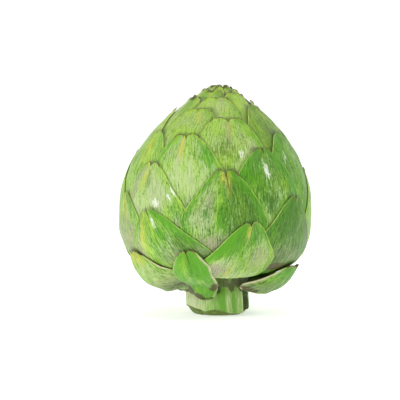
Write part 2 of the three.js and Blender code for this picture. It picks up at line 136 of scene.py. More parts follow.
WIDEST_HALF = 24.5
WIDTH_GROWTH = 24.0  # bracts nearer the apex than this are narrower
LOW_TIP = 78.0  # bracts whose tips are further down than this are narrower
LOWEST_TIP = 115.0  # and those down here half as wide
SPREAD = 1.15  # a bract is widest this many half widths below its tip
SEATED_SPREAD = 0.5  # or this share of its length, if that is less
TIP_CURVE = 1.15  # 1 is a straight-sided tip, more is a rounder one
ROOT_SHARE = 0.4  # the width of the root as a share of the greatest
ROOT_SWELLS = 0.55  # the root thickens from this share of the length on
SEATING = 0.8  # and bends in to its seat from this one
ROOT_END = 1.05  # and ends at this one, inside its seat
SEAT_RISE = 1.3  # its outer face is this far outside the core there
ROOT_DIVES = 0.97  # and from this share on it goes down into it
ROOT_DIVE = 3.0  # by this much
RAGGED = 0.025  # unevenly, by this share of its length
MARGIN_THICKNESS = 0.4
MIDDLE_THICKNESS = 1.3
ROOT_THICKNESS = 2.2
MARGIN_WIDTH = 8.0  # a bract reaches its full thickness this far in from its edge
SIDE_SLOPE = 0.75  # the sides run at an angle, so they are nearer than straight across
TIP_HALF = 4.2  # half the width of the blunt tip
TIP_LIMIT = 0.36  # but no more than this share of the bract's own
NOTCH_DEPTH = 3.2
NOTCH_WIDTH = 0.16  # share of the half width
WAVY = 0.015  # a margin wanders by this share of it
GRAIN_FAN = 0.6  # 1 is a grain that narrows as much as the bract does
SHOULDER_DROP = 1.4  # the tip's corners lie this far lower than its lobes
TIP_LENGTH = 0.25  # notch and shoulders even out over this share of the way to the widest place
LOBE = 0.5  # how uneven the tip's edge is
RIB = 0.12  # how high the fine ribs stand
SWELL = 0.35  # and the broad uneven swells
HELD = 5.0  # ribs and swells fade out this near an edge
FLARE = 0.4  # the tip stands out this far, and a young one FRESH_FLARE
FRESH_FLARE = 0.6
LIFT_SKEW = 0.65  # a loose bract stands out most nearer its root
LIFT_AT_TIP = 0.08
FIRST_FRESH = 22  # from this bract on they get younger
ALL_FRESH = 34  # and from this one on they all are
GAP = 0.2  # between a bract and the one beneath it
SHORT_REACH = 3.0  # the outline is evened out over this length to each side
LONG_REACH = 14.0  # and over this one at the root of a loose bract
LOOSENING = 0.3  # from this share of its length on, up to SEATING
MARGIN_LIFT = 0.45  # share of the lift that is left at a bract's margins
CROWDING = 0.3  # at the apex the layers lie this much closer
CROWDED = 24.0  # down to this distance from it
RAMP = 8.0  # a bract starts to dip this far before it passes under another
SAME_PLACE = 1e-7  # metres: vertices that are nearer than this are one


class Departure(NamedTuple):
    """Where a real bract departs from the spiral."""

    turn: float = 0  # degrees about the axis
    down: float = 0  # mm by which its tip lies lower
    root: float = 0  # and its root
    width: float = 1  # share of the width that it would have
    tip: float = 1  # and of its tip's
    foot: float = ROOT_SHARE
    taper: float = 2  # how late the taper to the foot sets in
    skew: float = 0  # degrees that its root lies to the side
    tilt: float = 0  # the slope of a bract that leans
    lift: float = 0  # mm that it stands away
    tip_lift: float = 0  # and its tip
    margin: float = MARGIN_LIFT  # share of that left at its margins
    loose: bool = False  # it runs straight from the belly to the stem


SETTLED = {
    0: Departure(root=4, lift=2.5, loose=True),
    1: Departure(
        turn=-12.7, down=-3, root=7.5, width=0.74, foot=0.3, taper=3.2, tilt=-0.2, lift=2.8, loose=True,
    ),
    2: Departure(root=4, lift=2.5, loose=True),
    3: Departure(
        turn=-9, down=12.6, root=2, width=1.4, skew=-2, tip=1.9, lift=7, tip_lift=1, margin=0.3,
        loose=True,
    ),
    4: Departure(turn=-4, down=7.3, root=3, width=1.3, skew=7, lift=6.8, margin=0.15, loose=True),
    5: Departure(lift=1.5),
    6: Departure(turn=-7.5, down=-1, root=-9, width=0.9, foot=0.3, taper=2.2, skew=-12, tilt=-0.1, lift=2),
    9: Departure(turn=-17.3, down=2, width=1.15, skew=17, tilt=-0.2),
    11: Departure(turn=-7.4, down=1.4, skew=-4, tilt=0.1),
    12: Departure(turn=10.6, down=1.9),
    14: Departure(turn=-1.9, down=-3, width=0.95, skew=-0.5),
    17: Departure(turn=0.8, down=0.8, skew=6),
    19: Departure(turn=-8.2, down=-1.2),
    22: Departure(turn=-11, down=-1.9, width=1.12, skew=10, tip=1.3),
    24: Departure(turn=-12),
    25: Departure(turn=7, down=1.6),
    27: Departure(turn=-11, down=-1.1, width=1.1, tip=1.7),
    30: Departure(turn=9, down=-2.6, tip=1.4),
    32: Departure(turn=3.3, down=-2.5),
    35: Departure(turn=-4.2, down=-3, tip=1.4),
    40: Departure(turn=0.8, down=-1),
}


class Looks(NamedTuple):
    """How one bract is coloured."""

    wax: float  # the pale bloom on it
    green: float  # how deep its green is
    dark: float  # how speckled it is
    left: float  # how much greener it is along its left margin
    right: float  # and its right one
    rim: float  # how brown its tip is
    patches: tuple  # a kind, a place as a share of the half width and mm below the tip, its size, an amount
    split: float = 0  # mm of the dark line that runs down from its notch
    notch: float = 1  # how many times as deep as the others' the notch is
    dry: tuple = (0, 0)  # how dead its left and right margins are


# The bracts that face the front; the others draw theirs at random. Dark and dusk patches low on a bract,
# where it passes under its neighbours or nears the stem, are painted shade as well as its own colour; the
# patches of near-white glints are painted highlights.
COLOURING = {
    1: Looks(0.0, 0.7, -0.1, 0.0, 0.7, 0.6, split=12, dry=(0.3, 1.0), patches=(
        ("green", 0.45, 8, 0.5, 9, 1.0), ("wax", -0.2, 16, 0.2, 9, 0.7), ("wax", 0.35, 23, 0.3, 5, 0.7),
        ("dark", 0.1, 12, 0.25, 6, 0.8), ("brown", -0.8, 33, 0.35, 5, 1.4),
        ("brown", -0.6, 41, 0.6, 6, 1.5), ("dusk", -0.7, 26, 0.3, 5, 0.8),
        ("brown", 0.8, 32, 0.35, 5, 1.0), ("yellow", -0.3, 5, 0.15, 5, 0.4),
        ("dusk", 0.6, 28, 0.35, 5, 0.8), ("green", 0.2, 2, 0.5, 4, 1.0), ("dusk", 1.0, 19, 0.07, 12, 1.5),
    )),
    3: Looks(0.3, 0.5, 0.5, 0.2, 0.3, 0.9, dry=(1.2, 0.2), patches=(
        ("green", 0.0, 3, 0.9, 6, 0.6), ("dusk", -0.6, 17, 0.5, 8, 1.0),
        ("brown", -0.86, 13, 0.07, 7, 0.8), ("dark", -0.3, 15, 0.5, 7, 0.8),
        ("dusk", -1.0, 12, 0.08, 9, 1.2), ("brown", -0.8, 20, 0.3, 4, 0.9),
    )),
    4: Looks(0.35, 0.35, 0.4, 0.1, 0.2, 0.8, dry=(0.1, 0.8), patches=(
        ("wax", 0.5, 12, 0.5, 9, 0.8), ("dusk", 0.3, 24, 0.6, 10, 1.2), ("yellow", 0.1, 2, 0.8, 5, 0.9),
        ("dark", 0.35, 26, 0.4, 6, 1.3), ("brown", 0.4, 26, 0.2, 2.5, 0.7),
        ("brown", 0.3, 37, 0.5, 3, 0.9), ("dark", 0.8, 14, 0.2, 6, 0.6),
    )),
    6: Looks(0.35, 0.45, 0.3, 0.9, 0.1, 0.4, patches=(
        ("green", -0.5, 6, 0.5, 9, 1.0), ("green", 0.3, 5, 0.4, 6, 0.6), ("wax", 0.65, 15, 0.3, 9, 0.6),
        ("wax", -0.6, 22, 0.5, 6, 0.9), ("dusk", -0.6, 25, 0.5, 6, 1.1), ("wax", 0.0, 30, 0.9, 5, 0.9),
        ("yellow", 0.0, 3, 0.14, 6, 0.8), ("dusk", 0.5, 20, 0.5, 9, 0.9),
        ("yellow", -0.2, 24, 0.1, 6, 0.4), ("dark", -0.5, 36, 0.4, 4, 1.2),
        ("dark", 0.95, 22, 0.15, 5, 1.0),
    )),
    9: Looks(0.25, 0.45, 0.4, 0.0, 0.9, 0.4, split=6, patches=(
        ("gleam", 0.22, 7.5, 0.12, 4.5, 1.0), ("yellow", -0.45, 9, 0.16, 12, 0.7),
        ("dark", 0.72, 21, 0.3, 7, 1.3), ("wax", -0.6, 18, 0.35, 12, 0.8),
        ("dusk", -0.8, 22, 0.3, 12, 0.9), ("wax", -0.2, 36, 0.5, 7, 0.9),
        ("green", 0.28, 13, 0.12, 3, 1.0), ("dusk", 0.35, 27, 0.5, 8, 0.9),
        # Painted shade at its lower right corner, where it passes under its neighbours
        ("dark", 0.85, 30, 0.25, 8, 1.5), ("dusk", 0.85, 27, 0.2, 7, 1.2),
    )),
    11: Looks(0.05, 0.65, 1.1, 0.5, 0.3, 0.6, patches=(
        ("green", -0.3, 8, 0.5, 9, 0.7), ("dusk", 0.75, 17, 0.25, 12, 1.2),
        # Its dark and dusk patches near the foot are painted shade under the bract in front of it
        ("dark", 0.1, 16, 0.3, 9, 0.6), ("wax", 0.0, 27, 0.8, 6, 0.5), ("dark", -0.1, 35, 0.8, 6, 1.3),
        ("dusk", -0.1, 31, 0.7, 6, 1.2), ("brown", -0.2, 38, 0.8, 4, 0.9),
    )),
    12: Looks(0.35, 0.3, 0.45, 0.1, 0.2, 0.3, patches=(
        ("yellow", 0.1, 5, 0.3, 8, 0.7), ("dusk", 0.0, 22, 0.9, 13, 1.1), ("wax", 0.3, 30, 0.6, 12, 0.6),
    )),
    14: Looks(0.2, 0.6, 0.52, 0.3, 0.7, 1.0, split=14, notch=1.6, patches=(
        ("wax", -0.6, 14, 0.35, 12, 1.0), ("dusk", -0.5, 17, 0.35, 9, 0.55),
        ("yellow", 0.0, 3, 0.35, 5, 1.0), ("dark", 0.5, 20, 0.5, 16, 1.1),
        # Its dusk and dark patches at the foot are painted shade where it meets the bracts below
        ("wax", -0.5, 25, 0.4, 10, 1.0), ("dusk", -0.3, 40, 0.6, 9, 1.4),
        ("dark", -0.55, 43, 0.4, 5, 1.0), ("wax", -0.2, 37, 0.5, 7, 0.9), ("wax", -0.45, 23, 0.3, 6, 0.9),
        ("green", -0.45, 22, 0.1, 4, 0.9), ("wax", 0.1, 41, 0.5, 6, 0.6),
        ("yellow", 0.12, 8, 0.1, 6, 0.6), ("green", -0.1, 24, 0.1, 7, 0.8),
    )),
    17: Looks(0.7, 0.15, 0.35, 0.1, 0.0, 0.9, patches=(
        ("yellow", -0.25, 6, 0.14, 8, 0.9), ("dark", 0.0, 9, 0.2, 5, 0.7), ("wax", 0.35, 15, 0.3, 9, 1.0),
        ("gleam", 0.25, 21, 0.14, 3, 1.0), ("gleam", 0.72, 18, 0.08, 2.5, 1.0),
        ("gleam", 0.94, 16, 0.05, 4, 1.0), ("dusk", -0.75, 14, 0.25, 16, 0.8),
        ("green", 0.75, 25, 0.25, 6, 0.7), ("wax", -0.4, 24, 0.4, 8, 0.7),
    )),
    19: Looks(0.15, 0.6, 0.65, 0.7, 0.6, 0.9, split=4, patches=(
        ("green", -0.5, 9, 0.3, 9, 0.6), ("gleam", 0.0, 12, 0.12, 6, 1.0),
        ("gleam", -0.18, 8, 0.06, 4, 1.0), ("dark", 0.08, 29, 0.15, 5, 1.3),
        ("wax", 0.3, 20, 0.3, 9, 0.4), ("wax", -0.1, 37, 0.3, 5, 1.0),
    )),
    22: Looks(0.45, 0.2, 0.1, 0.35, 0.15, 1.0, split=2, patches=(
        ("yellow", -0.1, 7, 0.12, 8, 1.0), ("dusk", -0.08, 10, 0.06, 7, 0.8),
        ("wax", 0.0, 22, 0.35, 11, 0.9), ("green", 0.75, 14, 0.2, 9, 0.6),
        ("wax", -0.3, 32, 0.25, 6, 1.0), ("dark", 0.0, 36, 0.3, 6, 0.7),
    )),
    24: Looks(0.2, 0.65, 0.6, 0.3, 0.2, 0.7, patches=(
        ("wax", 0.2, 14, 0.3, 9, 0.4), ("gleam", -0.46, 16, 0.08, 5, 0.9),
    )),
    25: Looks(0.35, 0.35, 0.3, 0.2, 0.2, 0.7, patches=(
        ("yellow", 0.1, 8, 0.3, 12, 0.5), ("dusk", -0.5, 14, 0.3, 12, 0.5),
    )),
    27: Looks(0.45, 0.25, 0.3, 0.0, 0.6, 1.0, split=2, patches=(
        ("yellow", 0.0, 6, 0.1, 8, 0.6), ("dusk", 0.0, 9, 0.14, 10, 1.1), ("dark", -0.1, 20, 0.3, 7, 1.2),
        ("wax", 0.55, 20, 0.3, 8, 0.6), ("gleam", 0.27, 22, 0.08, 4, 1.0),
        ("dark", 0.45, 16, 0.2, 7, 0.5),
    )),
    30: Looks(0.4, 0.3, 0.25, 0.1, 0.3, 0.9, patches=(
        ("yellow", 0.2, 6, 0.2, 6, 0.6), ("dusk", 0.35, 7, 0.08, 6, 0.8), ("dusk", -0.5, 9, 0.3, 8, 0.4),
    )),
    32: Looks(0.1, 0.7, 0.8, 0.1, 0.3, 0.8, patches=(
        ("yellow", 0.0, 7, 0.2, 7, 0.5), ("dark", -0.2, 17, 0.3, 8, 0.8), ("dusk", -0.8, 8, 0.2, 7, 0.5),
    )),
    35: Looks(0.5, 0.35, 0.15, 0.0, 0.2, 1.0, patches=(
        ("dusk", 0.3, 3, 0.3, 2, 0.7),
    )),
    40: Looks(0.2, 0.3, 0.1, 0.1, 0.2, 1.0, patches=()),
}
SPLIT_SLANT = 0.12  # mm that the dark line under a notch runs aside for each mm down
FAR = 9.0  # mm from any edge, margin or middle line
# The kinds of patch; the last lays painted highlights, near-white glints of light, into the colour
PATCH_KINDS = ("wax", "green", "dark", "dusk", "yellow", "brown", "gleam")


def smoothstep(x, low, high):
    t = np.clip((x - low) / (high - low), 0.0, 1.0)
    return t * t * (3.0 - 2.0 * t)


def lerp(a, b, share):
    return a + (b - a) * share


def waves(x, seed, count=5, longest=1.0):
    """A smooth irregular line of about -1 to 1: a few waves of random phase, each shorter than the last."""
    draw = np.random.default_rng(seed)
    total = np.zeros_like(x, dtype=float)
    for i in range(1, count + 1):
        pitch = i * 2 * np.pi / longest * draw.uniform(0.8, 1.2)
        total += np.sin(x * pitch + draw.uniform(0, 7)) / i
    return total / 1.6


class Bract:
    """One bract's place on the head, in radians and millimetres along the outline."""

    def __init__(self, index, tip, root, half_width, own):
        self.index = index
        self.own = own
        self.azimuth = math.radians(FIRST_AZIMUTH + index * GOLDEN_ANGLE + own.turn)
        self.tip = tip + own.down
        self.length = root + own.root - self.tip
        self.half_width = half_width * own.width
        self.tip_half = min(TIP_HALF * own.tip, TIP_LIMIT * self.half_width)
        self.skew = math.radians(own.skew)
        self.reach = LONG_REACH if own.loose else SHORT_REACH
        self.scale = math.sqrt(half_width / WIDEST_HALF)
        self.fresh = float(smoothstep(index, FIRST_FRESH, ALL_FRESH))
        self.widest = min(SPREAD * self.half_width, SEATED_SPREAD * self.length)

    def half_at(self, below):
        """Half the width at a distance below the tip."""
        swell = 1 - (1 - np.clip(below / self.widest, 0, 1)) ** TIP_CURVE
        taper = np.clip((below - self.widest) / (self.length - self.widest), 0, 1.1) ** self.own.taper
        upper = self.tip_half + (self.half_width - self.tip_half) * swell
        return np.where(below < self.widest, upper, self.half_width * (1 - (1 - self.own.foot) * taper))

    def lift_at(self, share):
        """How far it stands away from the head at a share of its length."""
        from_root = np.clip(1 - share, 0, 1)
        belly = np.sin(np.pi * from_root**LIFT_SKEW)
        return self.own.lift * (belly + LIFT_AT_TIP * from_root) + self.own.tip_lift * from_root**2


class Head:
    """The surface that the head fills, and the spiral of bracts on it."""

    def __init__(self, sizes):
        self.radius = sizes.radius / MM
        self.top = sizes.height / MM
        self.stem_radius = sizes.stem_radius / MM
        self.line = self.meridian()
        steps = np.hypot(*np.diff(self.line, axis=0).T)
        self.run = np.concatenate([[0.0], np.cumsum(steps)])
        self.bracts = self.spiral()

    def meridian(self):
        peak = self.top + DOME_RISE
        t = CROWN_SHARE * (1 - np.arange(DOME_STEPS) / DOME_STEPS)
        dome = np.stack([self.radius * (1 - t**DOME_POWER), EQUATOR_HEIGHT + (peak - EQUATOR_HEIGHT) * t], 1)
        neck = self.stem_radius + NECK_FILLET
        a = np.linspace(0, math.acos((neck / self.radius) ** (BELLY_POWER / 2)), BELLY_STEPS + 1)
        out = np.cos(a) ** (2 / BELLY_POWER)
        drop = np.sin(a) ** (2 / BELLY_POWER)
        belly = np.stack([self.radius * out, EQUATOR_HEIGHT - BELLY_DEPTH * drop], 1)
        turn = np.linspace(0, math.pi / 2, FILLET_STEPS + 1)[1:]
        fillet = [neck, belly[-1, 1]] - NECK_FILLET * np.stack([np.sin(turn), 1 - np.cos(turn)], 1)
        return np.concatenate([[[0.0, self.top]], dome, belly, fillet, [[self.stem_radius, 0.0]]])

    def at(self, down):
        down = np.clip(down, 0, self.run[-1])
        return np.stack([np.interp(down, self.run, side) for side in self.line.T], -1)

    def outline(self, down, reach=SHORT_REACH):
        """Radius and height at a distance down from the apex, with the outward normal, evened out."""
        here = sum(self.at(down + step * reach) for step in (-1, -0.5, 0, 0.5, 1)) * 0.2
        along = self.at(down + reach) - self.at(down - reach)
        along /= np.maximum(np.linalg.norm(along, axis=-1, keepdims=True), 1e-9)
        steady = np.minimum(1, here[..., 0] / reach)
        normal = np.stack([-along[..., 1] * steady, along[..., 0]], -1)
        normal /= np.linalg.norm(normal, axis=-1, keepdims=True)
        return here[..., 0], here[..., 1], normal

    def bend(self, height):
        """How far the axis stands to +X of the stem's at a height."""
        rise = (height - EQUATOR_HEIGHT) / (self.top - EQUATOR_HEIGHT)
        below = 1 - height / EQUATOR_HEIGHT
        return HEAD_OFFSET + np.where(rise > 0, APEX_LEAN * rise**2, -HEAD_OFFSET * below**2)

    def place(self, down, azimuth, depth, reach=SHORT_REACH):
        """A point: down from the apex, round the axis, and deep below the outline."""
        radius, height, normal = self.outline(down, reach)
        r = np.maximum(radius - depth * normal[..., 0], 0.2)
        z = height - depth * normal[..., 1]
        return np.stack([r * np.sin(azimuth) + self.bend(z), -r * np.cos(azimuth), z], -1)

    def spiral(self):
        bracts = []
        tip = FIRST_TIP
        for k in range(BRACTS):
            seat = (LOWEST_ROOT - tip) / LOWEST_ROOT
            root = LOWEST_ROOT * (1 - seat**ROOT_POWER)
            grown = 1 - math.exp(-tip / WIDTH_GROWTH)
            narrowing = 1 - 0.5 * float(smoothstep(tip, LOW_TIP, LOWEST_TIP))
            bracts.append(Bract(k, tip, root, WIDEST_HALF * grown * narrowing, SETTLED.get(k, Departure())))
            tip -= SPIRAL_STEP * tip / (tip + STEP_SOFTENING)
        return bracts

    def inside(self, bract, down, azimuth, radius):
        """How far a point lies inside a bract's outline; outside it this is negative."""
        below = down - bract.tip
        turn = azimuth - bract.azimuth - bract.skew * np.clip(below / bract.length, 0, 1)
        turn = turn - 2 * np.pi * np.round(turn / (2 * np.pi))
        below = below - bract.own.tilt * turn * radius
        from_side = SIDE_SLOPE * (bract.half_at(np.minimum(below, bract.length)) - np.abs(turn) * radius)
        above = np.where(from_side < 0, -np.hypot(below, from_side), below)
        return np.where(below < 0, above, np.minimum(from_side, below))

    def layers(self, k, down, azimuth):
        """How deep the older bracts over a point push bract k, and how far they let it stand away."""
        radius = self.outline(down)[0]
        depth = np.zeros_like(down)
        bract = self.bracts[k]
        lift = bract.lift_at((down - bract.tip) / bract.length)
        nearest = np.full_like(down, RAMP)
        for older in self.bracts[:k]:
            inside = self.inside(older, down, azimuth, radius)
            share = (down - older.tip) / older.length
            over = inside > -RAMP
            step = (MARGIN_THICKNESS + GAP) * smoothstep(inside, -RAMP, 0)
            depth += np.where(over, step + thickness(inside, share) - MARGIN_THICKNESS, 0)
            held = older.lift_at(share)
            lift = lift - smoothstep(inside, -RAMP, 0) * np.maximum(0, lift - held)
            nearest = np.minimum(nearest, -inside)
        closeness = 1.0
        if k >= LARGE_BRACTS:
            closeness = CROWDING + (1 - CROWDING) * smoothstep(down, 0, CROWDED)
        return depth * closeness, lift, nearest

    def core_depth(self, down):
        """How deep the core that carries the roots lies below the outline."""
        side = CORE_SIDE * smoothstep(down, *CORE_SIDE_DOWN)
        belly = CORE_BELLY * smoothstep(down, *CORE_BELLY_DOWN)
        return (CORE_CROWN + side + belly) * (1 - smoothstep(down, *CORE_NECK_DOWN))


def thickness(inside, share):
    """A bract's thickness at a distance in from its edge and a share of its length."""
    from_edge = smoothstep(inside, 0, MARGIN_WIDTH)
    body = (MIDDLE_THICKNESS - MARGIN_THICKNESS) * from_edge
    root = (ROOT_THICKNESS - MIDDLE_THICKNESS) * from_edge * smoothstep(share, ROOT_SWELLS, 1)
    return MARGIN_THICKNESS + body + root


# ---- Meshes ----

EDGE_COLUMNS = (0.998, 0.993, 0.982, 0.965)  # these shares of the half width round the margin off
INNER_SHARE = 0.94  # and the others are spread evenly over this share
EDGE_ROWS = (0.0, 0.06, 0.18, 0.4, 0.75, 1.2, 1.8)  # mm below the tip
ROW_CROWDING = 1.15  # the other rows lie closer near the tip the more this is over 1


def column_places(count):
    """Shares of the half width, from one margin to the other, close together at the margins."""
    inner = np.linspace(-1, 1, count) * INNER_SHARE
    edge = np.array([1.0, *EDGE_COLUMNS])
    return np.concatenate([-edge, inner, edge[::-1]])


def row_places(bract, count):
    """Millimetres from the tip's edge to the root, close together at the tip."""
    start = EDGE_ROWS[-1]
    end = bract.length * ROOT_END
    inner = start + (end - start) * np.linspace(0, 1, count)[1:] ** ROW_CROWDING
    return np.concatenate([EDGE_ROWS, inner])


def bract_surface(head, bract, columns, rows, seed):
    """The two faces of a bract as grids of points, with what its colouring reads at each point."""
    u, row = np.meshgrid(column_places(columns), row_places(bract, rows))
    end = row.max()
    wavy = 1 + WAVY * waves(row / bract.length + 3 * np.sign(u), seed, 6, 0.5)
    half = bract.half_at(row) * wavy
    tip_weight = np.maximum(0, 1 - row / (TIP_LENGTH * bract.widest))
    deepened = COLOURING[bract.index].notch if bract.index in COLOURING else 1
    notch = NOTCH_DEPTH * deepened * bract.scale * np.exp(-np.abs(u) / NOTCH_WIDTH)
    lobes = LOBE * bract.scale * waves(u + 2, seed + 5, 4, 1.3) * (1 - u**2)
    shoulder = SHOULDER_DROP * bract.scale * u**2 + lobes
    below = row + (notch + shoulder) * tip_weight
    share = below / bract.length
    down = bract.tip + below + bract.own.tilt * u * half
    wrap = np.maximum(head.outline(down, bract.reach)[0], SHORT_REACH)
    azimuth = bract.azimuth + bract.skew * (down - bract.tip) / bract.length + u * half / wrap
    side = half * (1 - np.abs(u)) * SIDE_SLOPE
    inside = np.clip(np.minimum(side, below), 0, None)
    edge = np.clip(np.minimum(np.minimum(side, row), end - row), 0, None)
    depth, lift, nearest = head.layers(bract.index, down, azimuth)
    lift = lift * (1 - (1 - bract.own.margin) * u**2)
    across = u * (GRAIN_FAN * half + (1 - GRAIN_FAN) * WIDEST_HALF)
    held = smoothstep(nearest, 0, HELD) * smoothstep(edge, 0, HELD)
    ribs = RIB * waves(u, seed + 1, 7, 0.35) * held
    swell = SWELL * waves(row / 40 + u * 0.4, seed + 2, 3, 1.0) * held
    full = thickness(inside, share)
    flare = lerp(FLARE, FRESH_FLARE, bract.fresh) * smoothstep(row, 3.0, 0)
    layered = depth - lift - ribs - swell - flare
    seated = head.core_depth(down) - SEAT_RISE
    middle = lerp(layered, seated, smoothstep(share, SEATING, ROOT_END)) + full / 2
    torn = share + RAGGED * waves(u, seed + 6, 5, 1.1)
    middle = middle + ROOT_DIVE * smoothstep(torn, ROOT_DIVES, ROOT_END)
    rounding = np.clip(edge / (full / 2), 0, 1)
    half_thick = full / 2 * np.sqrt(np.clip(1 - (1 - rounding) ** 2, 0, 1))
    reach = SHORT_REACH + (bract.reach - SHORT_REACH) * smoothstep(share, LOOSENING, SEATING)
    sheets = [place_with_reach(head, down, azimuth, middle + s * half_thick, reach) for s in (-1, 1)]
    grain = np.stack([across, row, np.full_like(row, 13.7 * seed % 997)], -1)
    return sheets, {
        "u": u, "row": row, "half": half, "share": share, "edge": edge, "nearest": nearest, "grain": grain
    }


def place_with_reach(head, down, azimuth, depth, reach):
    """head.place where the reach changes from row to row."""
    if np.allclose(reach, SHORT_REACH):
        return head.place(down, azimuth, depth)
    rows = [head.place(down[i], azimuth[i], depth[i], float(reach[i].mean())) for i in range(len(down))]
    return np.stack(rows)


def add_sheet(bm, layers, points, values, flip):
    """Adds a grid of faces whose vertices lie at the points and carry the values."""
    rows, columns = points.shape[:2]
    made = bmesh.ops.create_grid(bm, x_segments=columns - 1, y_segments=rows - 1, size=1.0)
    verts = made["verts"]
    for vert in verts:
        j = round((vert.co.x + 1) / 2 * (columns - 1))
        i = round((vert.co.y + 1) / 2 * (rows - 1))
        vert.co = points[i, j] * MM
        for name, layer in layers.items():
            value = values[name][i, j]
            vert[layer] = Vector(value) if value.ndim else float(value)
    if flip:
        faces = {face for vert in verts for face in vert.link_faces}
        bmesh.ops.reverse_faces(bm, faces=list(faces))
    return verts


def drawn_line(bm, points):
    """Adds vertices at the points and the edges that join them in a row."""
    verts = [bm.verts.new(point) for point in points]
    return verts, [bm.edges.new(pair) for pair in zip(verts, verts[1:])]


def attribute_layers(bm):
    """The values that the finishes read: three numbers in each vector."""
    vectors = {name: bm.verts.layers.float_vector.new(name) for name in ("grain", "tone", "marks", "stain")}
    floats = {name: bm.verts.layers.float.new(name) for name in ("edge", "middle", "gleam", "dry")}
    return {**vectors, **floats}


def drawn_looks(draw, fresh):
    """The looks of a bract that has none of its own; the fresh ones of the crown are brighter."""
    patches = [
        (
            draw.choice(("wax", "wax", "green", "dark", "dusk")),
            draw.uniform(-0.7, 0.7),
            draw.uniform(4, 36),
            draw.uniform(0.15, 0.45),
            draw.uniform(5, 11),
            draw.uniform(0.4, 0.9),
        )
        for _ in range(6)
    ]
    patches.append(("yellow", draw.uniform(-0.2, 0.2), 5, 0.15, 7, draw.uniform(0.2, 0.8)))
    patches.append(("brown", draw.uniform(-0.2, 0.2), 0.2, 0.6, 2.2, 1.2 * fresh))
    return Looks(
        wax=draw.uniform(0.25, 0.55),
        green=draw.uniform(0.2, 0.5) * (1 - 0.3 * fresh),
        dark=draw.uniform(0.2, 0.5) * (1 - 0.2 * fresh),
        left=draw.uniform(0, 0.8),
        right=draw.uniform(0, 0.8),
        split=draw.choice((0, 0, 4, 10)),
        rim=draw.uniform(0.4, 1.0),
        patches=patches,
    )


def patch_amounts(patches, u, row):
    """How strong each kind of patch is over a bract."""
    amounts = {kind: np.zeros_like(row) for kind in PATCH_KINDS}
    for kind, across, down, width, length, amount in patches:
        off = ((u - across) / width) ** 2 + ((row - down) / length) ** 2
        amounts[kind] = np.maximum(amounts[kind], amount * smoothstep(np.sqrt(off), 1.5, 0.2))
    return amounts


def bract_values(bract, facts, draw):
    """What the skin of a bract reads at each point of its grid."""
    own = COLOURING.get(bract.index) or drawn_looks(draw, bract.fresh)
    u, row, edge = facts["u"], facts["row"], facts["edge"]
    patch = patch_amounts(own.patches, u, row)
    side = np.where(u < 0, own.left, own.right) * smoothstep(edge, 6, 1) * smoothstep(np.abs(u), 0.2, 0.6)
    wax = np.clip(own.wax + 0.6 * patch["wax"] - 0.5 * side - 0.5 * patch["green"], 0, 1.2)
    green = np.clip(own.green + 0.6 * side + 0.6 * patch["green"] - 0.3 * patch["wax"], 0, 1.2)
    # Painted shade: the colour darkens next to the edges of the older bracts that lie over this one, more so
    # in the crown
    painted_shade = smoothstep(facts["nearest"], lerp(0.9, 2.2, bract.fresh), 0) * lerp(1, 1.8, bract.fresh)
    dark = np.clip(own.dark + 0.6 * patch["dark"] - 0.4 * side - 0.1 * bract.fresh, -0.4, 1.2)
    crown = 0.6 * bract.fresh * smoothstep(row, 12, 4)
    rim = own.rim * np.maximum(smoothstep(row, 5.5 * bract.scale, 1.0), crown)
    root = smoothstep(facts["share"], 0.9, 1.0)
    yellow = np.maximum(patch["yellow"], 0.2 * bract.fresh)
    split = smoothstep(row, own.split, 0.3 * own.split) if own.split else np.zeros_like(row)
    return {
        "grain": facts["grain"],
        "tone": np.stack([wax, green, dark], -1),
        "marks": np.stack([rim, yellow, np.maximum(root, patch["brown"])], -1),
        "stain": np.stack([patch["dusk"], painted_shade, split], -1),
        "edge": edge,
        "middle": u * facts["half"] - SPLIT_SLANT * row,
        "gleam": patch["gleam"],
        "dry": np.where(u < 0, *own.dry) * smoothstep(row, 2, 7),
    }


def add_bract(bm, layers, head, bract, columns, rows):
    """Adds one bract to a bmesh as a closed skin."""
    seed = 100 + bract.index
    sheets, facts = bract_surface(head, bract, columns, rows, seed)
    values = bract_values(bract, facts, np.random.default_rng(seed))
    verts = add_sheet(bm, layers, sheets[0], values, flip=False)
    verts += add_sheet(bm, layers, sheets[1], values, flip=True)
    bmesh.ops.remove_doubles(bm, verts=verts, dist=SAME_PLACE)


def plain_values(grain, tone, stain=0.0):
    """The values of a surface that isn't a bract's: it has no edge, no middle and no marks."""
    flat = np.zeros(grain.shape[:2])
    none = np.zeros(grain.shape)
    far = flat + FAR
    return {
        "grain": grain, "tone": tone, "marks": none, "stain": none + stain,
        "edge": far, "middle": far, "gleam": flat, "dry": flat,
    }


def smooth_object(name, bm, material):
    """Turns a bmesh into a smooth object."""
    for face in bm.faces:
        face.smooth = True
    mesh = bpy.data.meshes.new(name)
    bm.to_mesh(mesh)
    bm.free()
    mesh.materials.append(material)
    made = bpy.data.objects.new(name, mesh)
    bpy.context.scene.collection.objects.link(made)
    return made


def finished_piece(name, bm, material, node):
    """Turns a bmesh into an object that stands for a node of the frame."""
    piece = smooth_object(name, bm, material)
    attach(piece, BODY)
    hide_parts(node)


# ---- Finishes ----


